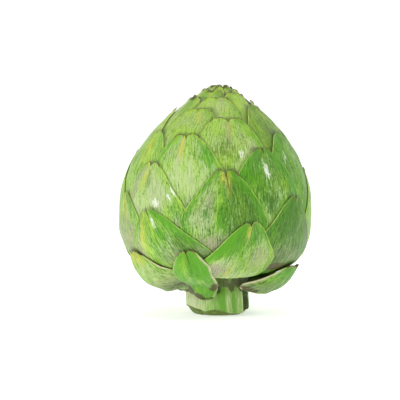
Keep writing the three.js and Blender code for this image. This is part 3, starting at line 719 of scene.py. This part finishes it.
class Value:
    """A shader socket that takes part in arithmetic."""

    def __init__(self, finish, socket):
        self.finish = finish
        self.socket = socket

    def math(self, operation, *others, clamp=False):
        inputs = {i: value for i, value in enumerate((self, *others))}
        return self.finish.node("ShaderNodeMath", {"operation": operation, "use_clamp": clamp}, inputs)

    def __add__(self, other):
        return self.math("ADD", other)

    def __sub__(self, other):
        return self.math("SUBTRACT", other)

    def __rsub__(self, other):
        return self.math("MULTIPLY", -1.0) + other

    def __mul__(self, other):
        return self.math("MULTIPLY", other)

    __radd__ = __add__
    __rmul__ = __mul__

    def __abs__(self):
        return self.math("ABSOLUTE")

    def clamped(self):
        return self.math("ADD", 0.0, clamp=True)

    def smooth(self, low, high):
        """0 below low and 1 above high, or the other way round, with a soft ramp between."""
        inputs = {"Value": self, "From Min": low, "From Max": high}
        return self.finish.node("ShaderNodeMapRange", {"interpolation_type": "SMOOTHSTEP"}, inputs)


class Finish:
    """A material while its nodes are being put together."""

    def __init__(self, name):
        self.material = bpy.data.materials.new(name)
        self.material.use_nodes = True
        self.tree = self.material.node_tree
        self.tree.nodes.clear()

    def node(self, kind, settings, inputs, output=0):
        """Adds a node: its settings first, then the values or links of its sockets."""
        made = self.tree.nodes.new(kind)
        for key, setting in settings.items():
            if key == "stops":
                self.set_stops(made.color_ramp, setting)
            else:
                setattr(made, key, setting)
        for key, value in inputs.items():
            if isinstance(value, Value):
                self.tree.links.new(value.socket, made.inputs[key])
            else:
                made.inputs[key].default_value = value
        return Value(self, made.outputs[output]) if made.outputs else None

    @staticmethod
    def set_stops(ramp, stops):
        while len(ramp.elements) < len(stops):
            ramp.elements.new(0.5)
        for element, (place, colour) in zip(ramp.elements, stops):
            element.position = place
            element.color = colour

    def attribute(self, name, output="Fac"):
        return self.node("ShaderNodeAttribute", {"attribute_name": name}, {}, output)

    def parts(self, name):
        """The three numbers of a vector attribute."""
        vector = self.attribute(name, "Vector")
        return [self.node("ShaderNodeSeparateXYZ", {}, {0: vector}, i) for i in range(3)]

    def stretched(self, vector, x, y, z=1.0):
        return self.node("ShaderNodeVectorMath", {"operation": "MULTIPLY"}, {0: vector, 1: (x, y, z)})

    def noise(self, vector, scale=1.0, detail=2.0, roughness=0.5, distortion=0.0):
        inputs = {
            "Vector": vector,
            "Scale": scale,
            "Detail": detail,
            "Roughness": roughness,
            "Distortion": distortion,
        }
        return self.node("ShaderNodeTexNoise", {}, inputs)

    def mix(self, first, second, factor):
        inputs = {0: factor, 6: first, 7: second}
        return self.node("ShaderNodeMix", {"data_type": "RGBA"}, inputs, 2)

    def finish(self, colour, roughness, height, bump=0.3, distance=0.0003, coat=0.0, specular=0.5):
        normal = self.node("ShaderNodeBump", {}, {"Strength": bump, "Distance": distance, "Height": height})
        inputs = {
            "Base Color": colour,
            "Roughness": roughness,
            "Normal": normal,
            "Coat Weight": coat,
            "Coat Roughness": 0.25,
            "Specular IOR Level": specular,
        }
        shader = self.node("ShaderNodeBsdfPrincipled", {}, inputs)
        self.node("ShaderNodeOutputMaterial", {}, {"Surface": shader})
        return self.material


def srgb(red, green, blue):
    """A colour given as a screen shows it, from 0 to 255, as the light values that a shader takes."""
    def linear(value):
        value /= 255
        return value / 12.92 if value <= 0.04045 else ((value + 0.055) / 1.055) ** 2.4

    return (linear(red), linear(green), linear(blue), 1.0)


def bract_skin(name, colours):
    """The skin of a bract: green with fine fibres, pale wax in streaks, dark specks, a pale margin, painted
    shade beside the bracts that lie over it and painted highlights.
    """
    f = Finish(name)
    grain = f.attribute("grain", "Vector")
    wax, green, dark = f.parts("tone")
    rim, yellow, brown = f.parts("marks")
    dusk, painted_shade, split = f.parts("stain")
    edge = f.attribute("edge")
    middle = f.attribute("middle")
    patches = f.noise(f.stretched(grain, 0.13, 0.07), detail=3.0) - 0.5
    broad = f.noise(f.stretched(grain, 0.5, 0.06), detail=2.0, roughness=0.6, distortion=0.4) - 0.5
    fibres = f.noise(f.stretched(grain, 1.7, 0.22), detail=0.5, roughness=0.5, distortion=0.3) - 0.5
    mottle = f.noise(f.stretched(grain, 0.5, 0.28), detail=3.0, roughness=0.65) - 0.5
    scurf = f.noise(f.stretched(grain, 1.9, 0.8, 1.7), detail=0.5, roughness=0.5) - 0.5
    grit = scurf * 2.2 + fibres * 3.0

    depth = (green + patches * 1.0 + broad * 0.8 + mottle * 0.4 + grit * 0.15).smooth(0.0, 0.85)
    colour = f.mix(colours.young_green[:], colours.deep_green[:], depth)
    bloom = (wax * 0.9 + broad * 1.0 + patches * 1.3 - grit * 0.35).smooth(0.1, 1.1)
    bloom = bloom * edge.smooth(0.2, 3.0)
    pale = f.mix(colours.wax[:], colours.dusk[:], (dusk + scurf * 0.8).smooth(0.2, 0.9))
    colour = f.mix(colour, pale, bloom * 0.75)
    dusty = (dusk * 0.9 + broad * 1.2 + scurf * 1.6).smooth(0.2, 1.0)
    colour = f.mix(colour, colours.dusk[:], dusty * 0.5)
    hollow = (grit * 0.55 + mottle * 0.35 - broad * 0.4 + dark * 0.9 + patches * 0.6).smooth(-0.1, 1.2)
    colour = f.mix(colour, colours.dark_green[:], hollow * (0.75 - bloom * 0.3))
    dots = (grit * 0.7 + dark * 0.5 + patches * 0.4 + mottle * 0.3).smooth(0.6, 1.2)
    colour = f.mix(colour, colours.speck_and_shade[:], dots * 0.55)
    streak = (yellow * (mottle * 2.5 + broad - grit * 0.4 + 0.8)).clamped()
    colour = f.mix(colour, colours.yellow[:], streak * 0.85)
    margin = (edge + fibres * 0.5).smooth(0.5, 0.15)
    colour = f.mix(colour, colours.margin[:], margin * (mottle * 1.6 + 0.75).clamped())
    parched = f.attribute("dry") * edge.smooth(1.2, 0.3) * (mottle * 3.0 + 0.9)
    colour = f.mix(colour, colours.parched[:], parched.clamped() * 0.75)
    line = abs(middle + broad * 0.8).smooth(0.45, 0.1) * (split + mottle).smooth(0.2, 0.6)
    dried = (rim * edge.smooth(1.3, 0.4) * (mottle * 5.0 + 0.6)).clamped()
    colour = f.mix(colour, colours.russet[:], dried * 0.8)
    burnt = (rim * 1.2 + mottle * 3.0 + scurf).smooth(0.6, 1.1) * edge.smooth(0.9, 0.3)
    stained = (brown + mottle * 1.8 + broad * 0.6 + scurf * 0.8).smooth(0.35, 0.85)
    colour = f.mix(colour, colours.brown[:], (line * 0.7 + burnt + stained * 0.85).clamped())
    # Painted shade beside the edges of the bracts that lie over it
    colour = f.mix(colour, colours.speck_and_shade[:], painted_shade * 0.3)
    # Painted highlights: near-white streaks where the patches put a glint of light
    shine = (f.attribute("gleam") - grit * 0.4 + mottle).smooth(0.5, 1.1)
    colour = f.mix(colour, colours.gleam[:], shine * 0.85)
    roughness = 0.38 + bloom * 0.2 + mottle * 0.3
    height = fibres * 1.0 + broad * 0.6 + mottle * 0.6 + scurf * 0.5 - line * 1.5
    return f.finish(colour, roughness, height, bump=0.6, distance=0.0005, specular=0.33)


def stem_skin(colours):
    """The stem: pale ribs with green strips between them, dark scars at the neck, painted shade round the
    neck and in the deep groove, and the drying cut.
    """
    f = Finish("stem_skin")
    grain = f.attribute("grain", "Vector")
    pale, green, scar_and_shade = f.parts("tone")
    _, stem_painted_shade, cut = f.parts("stain")
    fibres = f.noise(f.stretched(grain, 1.1, 0.1), detail=4.0, roughness=0.7) - 0.5
    mottle = f.noise(f.stretched(grain, 0.5, 0.3), detail=5.0, roughness=0.7) - 0.5
    pith = f.noise(f.node("ShaderNodeTexCoord", {}, {}, "Object"), scale=900.0, detail=4.0) - 0.5
    strips = (green + fibres * 3.2).smooth(0.2, 1.0)
    colour = f.mix(colours.stem_green[:], colours.deep_green[:], strips * 0.65)
    colour = f.mix(colour, colours.stem_pale[:], (pale + fibres * 3.4 + mottle * 0.8).smooth(0.2, 1.0))
    colour = f.mix(colour, colours.dark_green[:], (fibres * -3.0 + mottle).smooth(0.2, 0.7) * 0.6)
    colour = f.mix(colour, colours.scar_and_shade[:], (scar_and_shade + mottle * 1.4 + fibres).smooth(0.3, 0.8) * 0.8)
    # Painted shade: the deep groove and the side beside it are darkened in the colour
    colour = f.mix(colour, colours.hollow[:], (stem_painted_shade + mottle * 1.2).smooth(0.3, 0.9) * 0.9)
    colour = f.mix(colour, f.mix(colours.cut[:], colours.stem_pale[:], (pith * 2.0).smooth(0.1, 0.8)), cut)
    roughness = 0.5 + mottle * 0.5
    height = fibres * 1.5 + mottle * 0.8
    return f.finish(colour, roughness, height, bump=0.6, distance=0.0005, specular=0.3)


# ---- Settings ----


def amount(name, description, default, **kind):
    return bpy.props.FloatProperty(name=name, description=description, default=default, min=0.0, **kind)


def length(name, description, default):
    return amount(name, description, default, unit="LENGTH")


def power(name, description, default):
    return amount(name, description, default, unit="POWER")


def paint(name, description, default):
    return bpy.props.FloatVectorProperty(
        name=name, description=description, default=default, size=4, min=0.0, max=1.0, subtype="COLOR"
    )


class ArtichokeSizes(bpy.types.PropertyGroup):
    """The sizes that the pieces are worked out from"""

    radius: length("Head radius", "Radius of the head where it is widest", 0.0495)
    height: length("Height", "From the cut of the stem to the closed crown", 0.119)
    stem_radius: length("Stem radius", "Radius of the stem between its ribs", 0.0157)
    columns: bpy.props.IntProperty(
        name="Columns", description="Faces across the middle of a bract", default=48, min=6, max=80
    )
    rows: bpy.props.IntProperty(
        name="Rows", description="Faces from a bract's tip to its root", default=76, min=8, max=120
    )


class ArtichokeColours(bpy.types.PropertyGroup):
    """The colours of the skin"""

    young_green: paint("Young green", "Yellow-green of a bract's open face", srgb(158, 202, 66))
    deep_green: paint("Deep green", "Green along a bract's margins", srgb(88, 160, 12))
    dark_green: paint("Dark green", "Green in the hollows between the fibres", srgb(62, 104, 18))
    wax: paint("Wax", "The pale bloom on the skin", srgb(188, 200, 154))
    # Also laid low on some bracts as painted shade
    dusk: paint("Dusk", "The bloom where it is greyer and a little purple", srgb(168, 158, 140))
    # Also the colour of the painted shade beside the edges of the bracts that lie over another
    speck_and_shade: paint("Specks", "Fine dark specks", srgb(44, 66, 26))
    yellow: paint("Yellow", "The streak that runs down from a tip", srgb(202, 198, 70))
    margin: paint("Margin", "The thin edge of a bract", srgb(182, 208, 98))
    brown: paint("Brown", "Dried tips and roots", srgb(76, 52, 32))
    stem_green: paint("Stem green", "Between the stem's ribs", srgb(152, 198, 92))
    stem_pale: paint("Stem pale", "The stem's pale ribs", srgb(208, 216, 168))
    # Also the colour of the painted shade round the neck under the head
    scar_and_shade: paint("Scar", "Old bract scars at the neck", srgb(72, 66, 38))
    # The colour of the painted shade in the deep groove
    hollow: paint("Hollow", "The deep groove of the stem", srgb(40, 44, 18))
    russet: paint("Russet", "Dry margins towards the crown", srgb(172, 138, 92))
    parched: paint("Parched", "The thin dead margin of a loose bract", srgb(214, 196, 170))
    # A painted highlight: the near-white of a glint of light, laid into the colour in small streaks
    gleam: paint("Gleam", "Where the bloom is rubbed to a shine", srgb(236, 240, 226))
    cut: paint("Cut", "The cut face of the stem", srgb(96, 118, 34))
    floor: paint("Floor", "The surface that it stands on", srgb(236, 236, 236))


class ArtichokeStage(bpy.types.PropertyGroup):
    """The camera and the lights"""

    distance: length("Camera distance", "From the camera to the stem's axis", 0.489)
    lens: amount("Lens", "Focal length", 85.0, unit="CAMERA")
    aside: length("Aside", "How far the camera stands to -X", 0.0093)
    raised: length("Camera height", "Height of the camera above the floor", 0.0584)
    left: power("Left light", "Strength of the softbox at the left", 4.6)
    right: power("Right light", "Strength of the softbox at the right", 4.2)
    front: power("Front light", "Strength of the softbox above the camera", 2.2)
    top: power("Top light", "Strength of the softbox overhead", 5.4)
    sky: amount("Sky", "Strength of the light from all round", 0.15)
    glow: amount("Glow", "How much the white sweep behind shines", 0.62)


# ---- Operators ----


class ARTICHOKE_OT_bracts(bpy.types.Operator):
    """Make the large bracts, each a piece of its own"""

    bl_idname = "artichoke.bracts"
    bl_label = "Bracts"

    def execute(self, context):
        sizes = context.scene.artichoke_sizes
        head = Head(sizes)
        material = bract_skin("bract_skin", context.scene.artichoke_colours)
        for bract in head.bracts[:LARGE_BRACTS]:
            bm = bmesh.new()
            layers = attribute_layers(bm)
            add_bract(bm, layers, head, bract, sizes.columns, sizes.rows)
            name = f"bract_{bract.index + 1:02d}"
            finished_piece(f"{name}_skin", bm, material, name)
        return {"FINISHED"}


class ARTICHOKE_OT_bud(bpy.types.Operator):
    """Make the closed bud: the small bracts of the crown over their core"""

    bl_idname = "artichoke.bud"
    bl_label = "Bud"

    def execute(self, context):
        sizes = context.scene.artichoke_sizes
        head = Head(sizes)
        bm = bmesh.new()
        layers = attribute_layers(bm)
        for bract in head.bracts[LARGE_BRACTS:]:
            add_bract(bm, layers, head, bract, sizes.columns // 2, sizes.rows // 2)
        add_core(bm, layers, head)
        material = bract_skin("bud_skin", context.scene.artichoke_colours)
        finished_piece("crown", bm, material, "inner_bud")
        return {"FINISHED"}


def add_core(bm, layers, head):
    """Adds the core that the crown's bracts stand on, as a closed skin."""
    down, azimuth = np.meshgrid(
        np.linspace(0, CORE_END, CORE_ROWS), np.linspace(-math.pi, math.pi, CORE_COLUMNS + 1), indexing="ij"
    )
    points = head.place(down, azimuth, head.core_depth(down))
    centre = points.mean(axis=1, keepdims=True)
    points[0] = centre[0]
    points[-1] = centre[-1]
    grain = np.stack([azimuth * 10, down, np.zeros_like(down)], -1)
    verts = add_sheet(bm, layers, points, plain_values(grain, np.full_like(grain, 0.3)), flip=True)
    bmesh.ops.remove_doubles(bm, verts=verts, dist=SAME_PLACE)


def turned_from(azimuth, degrees):
    """How many degrees an azimuth in radians is away from one in degrees."""
    off = np.abs(np.degrees(azimuth) - degrees) % 360
    return np.minimum(off, 360 - off)


def groove_depth(azimuth):
    return sum(depth * (1 - smoothstep(turned_from(azimuth, at), 0, width)) for at, width, depth in GROOVES)


def edge_height(azimuth):
    chips = [height * (1 - smoothstep(turned_from(azimuth, at), 0, width)) for at, width, height in CHIPS]
    return CUT_EDGE + np.max(chips, axis=0)


class ARTICHOKE_OT_stem(bpy.types.Operator):
    """Make the ribbed stem and the receptacle that it widens into"""

    bl_idname = "artichoke.stem"
    bl_label = "Stem"

    def execute(self, context):
        head = Head(context.scene.artichoke_sizes)
        bm = bmesh.new()
        layers = attribute_layers(bm)
        points, height = self.surface(head)
        arc = np.broadcast_to(np.linspace(-math.pi, math.pi, STEM_COLUMNS + 1), height.shape)
        verts = add_sheet(bm, layers, points, self.values(arc, height, points), flip=True)
        bmesh.ops.remove_doubles(bm, verts=verts, dist=SAME_PLACE)
        finished_piece("stem_skin", bm, stem_skin(context.scene.artichoke_colours), "stem")
        return {"FINISHED"}

    @staticmethod
    def surface(head):
        """Rings of points from the receptacle down the side and across the cut, and how high they are."""
        end = head.run[-1]
        foot = end - STEM_FOOT
        along = np.concatenate([np.linspace(STEM_SKIN_STARTS, foot, 60), np.linspace(foot, end, 10)[1:]])
        down, azimuth = np.meshgrid(along, np.linspace(-math.pi, math.pi, STEM_COLUMNS + 1), indexing="ij")
        radius, height, normal = head.outline(down, 1.0)
        depth = head.core_depth(down)
        height = np.maximum(height - depth * normal[..., 1], 0)
        lowered = np.maximum(1 - height / GROOVES_END, 0)
        ribs = RIB_RISE - groove_depth(azimuth) + RIB_WAVE * waves(azimuth / math.pi, 7, 14, 0.25)
        r = radius - depth * normal[..., 0] + ribs * smoothstep(lowered, 0, GROOVES_FULL)
        z = height + edge_height(azimuth) * lowered
        side = np.stack([r * np.sin(azimuth) + head.bend(z), -r * np.cos(azimuth), z], -1)
        rim = side[-1]
        rings = [side[:1] * (0, 0, 1) + side[:1].mean(axis=1, keepdims=True) * (1, 1, 0), side]
        for share in CUT_RINGS:
            ring = rim * share
            ring[:, 2] = rim[:, 2] * (1 - smoothstep(share, 1.0, CUT_FLAT)) ** 1.3
            rings.append(ring[None])
        points = np.concatenate(rings)
        cut = np.repeat(-1.0, len(points) - len(height) - 1)
        shown = np.concatenate([height[:1, 0], height[:, 0], cut])
        return points, np.broadcast_to(shown[:, None], points.shape[:2])

    @staticmethod
    def values(arc, height, points):
        """What the skin of the stem reads: its bands of colour and painted shade, the scars at the neck with
        the painted shade round it, and the cut.
        """
        table = np.array(STEM_BANDS).T
        pale, green, stem_painted_shade = (np.interp(np.degrees(arc), table[0], row) for row in table[1:])
        low = smoothstep(height, 15, 11)
        # Painted shade: the neck under the head is darkened all round, in the scars' colour
        scar_and_shade = 0.75 * smoothstep(height, 12, 16)
        for at, width, up, tall in SCARS:
            off = np.hypot(turned_from(arc, at) / width, (height - up) / tall)
            scar_and_shade = np.maximum(scar_and_shade, smoothstep(off, 1.3, 0.4))
        pale = 0.3 + (pale - 0.3) * low
        cut = np.where(height < 0, 1.0, 0.0)
        around = arc * 15.7
        grain = np.stack([around, np.where(height < 0, points[..., 1], height), height * 0], -1)
        tone = np.stack([pale, green, np.clip(scar_and_shade, 0, 1)], -1)
        stain = np.stack([height * 0, stem_painted_shade * low, cut], -1)
        return plain_values(grain, tone, stain=stain)


# The paper of the stage, in metres: how far it reaches to the front and to each side, and the wall behind
PAPER_FRONT = 6.0
PAPER_HALF = 8.0
WALL_FOOT = 1.0
WALL_CURVE = 0.8
WALL_TOP = 6.0
# and the low ring round it, which lies just over the paper
RING_RADIUS = 5.0
RING_RISE = 1.5
RING_LIFT = 0.001
LIT_MIDDLE = Vector((0, 0, 0.06))  # what the lights face


class ARTICHOKE_OT_stage(bpy.types.Operator):
    """Make the floor, the lights and the camera"""

    bl_idname = "artichoke.stage"
    bl_label = "Stage"

    def execute(self, context):
        scene = context.scene
        stage = scene.artichoke_stage
        self.sweep(scene.artichoke_colours.floor[:], stage.glow)
        world = bpy.data.worlds.new("studio")
        scene.world = world
        world.use_nodes = True
        background = world.node_tree.nodes["Background"]
        background.inputs["Color"].default_value = (1, 1, 1, 1)
        background.inputs["Strength"].default_value = stage.sky
        self.softbox("left_light", (-1.0, -0.45, 0.5), 0.4, stage.left)
        self.softbox("right_light", (0.9, -0.5, 1.0), 0.4, stage.right)
        self.softbox("front_light", (-0.1, -1.3, 0.9), 0.6, stage.front)
        self.softbox("top_light", (0.0, -0.2, 1.3), 1.0, stage.top)
        camera = bpy.data.cameras.new("camera")
        camera.lens = stage.lens
        camera.sensor_width = 36.0
        view = bpy.data.objects.new("camera", camera)
        view.location = (-stage.aside, -stage.distance, stage.raised)
        view.rotation_euler = (math.radians(90), 0, 0)
        scene.collection.objects.link(view)
        scene.camera = view
        scene.view_settings.view_transform = "Standard"
        return {"FINISHED"}

    @staticmethod
    def sweep(colour, glow):
        """The white paper that it stands on: it rises behind in a wide curve, and in a low ring far out."""
        bend = [math.radians(a) for a in range(0, 91, 9)]
        curve = [(math.sin(a), 1 - math.cos(a)) for a in bend]
        bm = bmesh.new()
        rise = [(WALL_FOOT + WALL_CURVE * out, WALL_CURVE * up) for out, up in curve]
        wall = [(-PAPER_FRONT, 0.0), *rise, (WALL_FOOT + WALL_CURVE, WALL_TOP)]
        _, edges = drawn_line(bm, [(-PAPER_HALF, y, z) for y, z in wall])
        drawn = bmesh.ops.extrude_edge_only(bm, edges=edges)["geom"]
        verts = [part for part in drawn if isinstance(part, bmesh.types.BMVert)]
        bmesh.ops.translate(bm, verts=verts, vec=(2 * PAPER_HALF, 0.0, 0.0))
        ring = [(RING_RADIUS + out, 0.0, RING_LIFT + RING_RISE * up) for out, up in curve]
        verts, edges = drawn_line(bm, ring)
        bmesh.ops.spin(
            bm, geom=verts + edges, cent=(0, 0, 0), axis=(0, 0, 1), angle=math.tau, steps=72, use_merge=True
        )
        f = Finish("floor_paint")
        inputs = {
            "Base Color": colour,
            "Roughness": 0.9,
            "Specular IOR Level": 0.1,
            "Emission Color": colour,
            "Emission Strength": glow,
        }
        shader = f.node("ShaderNodeBsdfPrincipled", {}, inputs)
        f.node("ShaderNodeOutputMaterial", {}, {"Surface": shader})
        smooth_object("floor", bm, f.material)

    @staticmethod
    def softbox(name, place, size, watts):
        """A square lamp that faces the middle of the head."""
        light = bpy.data.lights.new(name, "AREA")
        light.energy = watts
        light.size = size
        box = bpy.data.objects.new(name, light)
        box.location = place
        box.rotation_euler = (LIT_MIDDLE - Vector(place)).to_track_quat("-Z", "Y").to_euler()
        bpy.context.scene.collection.objects.link(box)


class ARTICHOKE_PT_panel(bpy.types.Panel):
    """Lists the pieces and their settings"""

    bl_label = "Artichoke"
    bl_idname = "ARTICHOKE_PT_panel"
    bl_space_type = "VIEW_3D"
    bl_region_type = "UI"
    bl_category = "Artichoke"

    def draw(self, context):
        for settings in SETTINGS:
            group = getattr(context.scene, settings)
            box = self.layout.box()
            for name in group.bl_rna.properties.keys():
                if name not in ("rna_type", "name"):
                    box.prop(group, name)
        for operator in OPERATORS:
            self.layout.operator(operator.bl_idname)


OPERATORS = (ARTICHOKE_OT_stem, ARTICHOKE_OT_bracts, ARTICHOKE_OT_bud, ARTICHOKE_OT_stage)
SETTINGS = {
    "artichoke_sizes": ArtichokeSizes,
    "artichoke_colours": ArtichokeColours,
    "artichoke_stage": ArtichokeStage,
}


def register():
    for kind in (*SETTINGS.values(), *OPERATORS, ARTICHOKE_PT_panel):
        bpy.utils.register_class(kind)
    for name, kind in SETTINGS.items():
        setattr(bpy.types.Scene, name, bpy.props.PointerProperty(type=kind))


def unregister():
    for name in SETTINGS:
        delattr(bpy.types.Scene, name)
    for kind in reversed((*SETTINGS.values(), *OPERATORS, ARTICHOKE_PT_panel)):
        bpy.utils.unregister_class(kind)


def main():
    register()
    bpy.ops.artichoke.stem()
    bpy.ops.artichoke.bracts()
    bpy.ops.artichoke.bud()
    bpy.ops.artichoke.stage()


if __name__ == "__main__":
    main()
